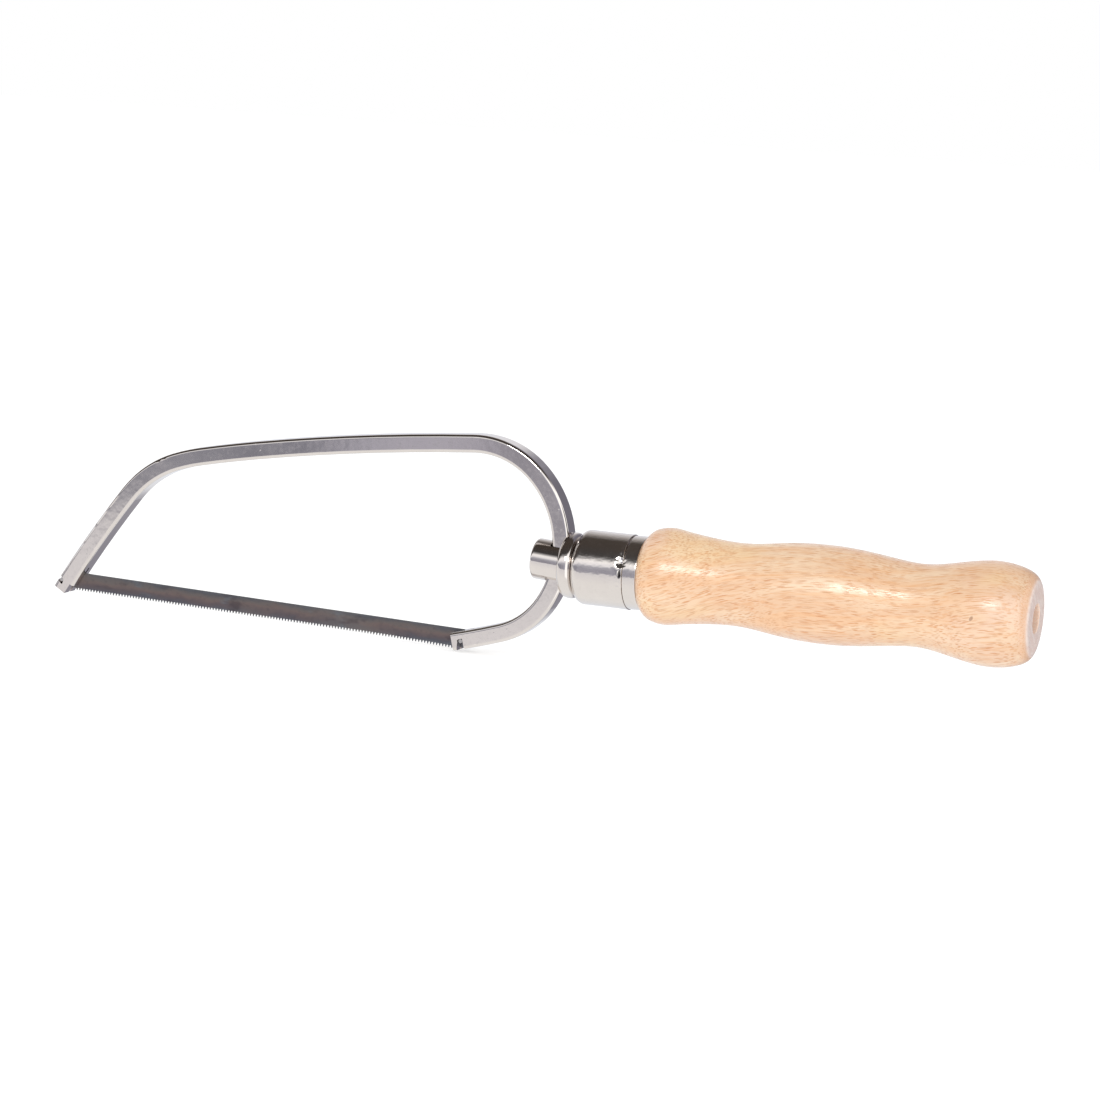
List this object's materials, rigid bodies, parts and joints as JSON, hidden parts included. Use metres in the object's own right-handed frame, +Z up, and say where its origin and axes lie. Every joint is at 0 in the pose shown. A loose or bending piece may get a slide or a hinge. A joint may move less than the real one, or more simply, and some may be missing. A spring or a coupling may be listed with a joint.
{
  "type": "small pin-blade bow saw for metal",
  "caption": "Small hand saw for metal: a sprung steel bow holds a pin-ended blade, and a window bolt, collar and screwed ferrule clamp it to a turned wooden handle.",
  "frame": {"origin": "centre of the mouth of the hole in the handle's rear end", "axes": "+X runs along the handle's axis, out of the hole's mouth and away from the blade; +Z is up in the plane of the bow, so the teeth point towards -Z; +Y is across the bow"},
  "size_m": [0.3335, 0.0326, 0.0706],
  "materials": {
    "bow_plating": "satin nickel plate on spring steel",
    "clamp_plating": "bright nickel plate, fine dents",
    "blade_steel": "dark heat-treated steel, blue-grey with brown",
    "pin_steel": "dark steel",
    "nut_steel": "plain zinc plate",
    "handle_wood": "clear-lacquered beech with short flecks"
  },
  "bodies": {
    "bow_frame": {"bow": "bow_plating"},
    "clamp": {"clamp_bolt": "clamp_plating"},
    "collar": {"collar_ring": "clamp_plating"},
    "handle": {"ferrule_cap": "clamp_plating", "ferrule_sleeve": "clamp_plating", "clamp_nut": "nut_steel", "wooden_handle": "handle_wood"},
    "blade": {"blade_strip": "blade_steel", "front_blade_pin": "pin_steel", "rear_blade_pin": "pin_steel"}
  },
  "joints": [
    {"name": "clamp_shift", "type": "hinge", "parent": "bow_frame", "child": "clamp", "pos_m": [-0.18637, 0, 0.0043], "axis": [0, 1, 0], "range_deg": [-30, 12]},
    {"name": "collar_slide", "type": "slide", "parent": "clamp", "child": "collar", "axis": [1, 0, 0], "range_m": [0, 0.005]},
    {"name": "handle_turn", "type": "hinge", "parent": "collar", "child": "handle", "pos_m": [-0.1476, 0, 0], "axis": [1, 0, 0], "range_deg": [0, 1440]},
    {"name": "blade_swing", "type": "hinge", "parent": "bow_frame", "child": "blade", "pos_m": [-0.33075, 0, -0.0242], "axis": [0, 1, 0], "range_deg": [0, 75]}
  ],
  "couplings": [
    {"joint": "collar_slide", "follows": "handle_turn", "m_per_rad": 0.00019894}
  ]
}
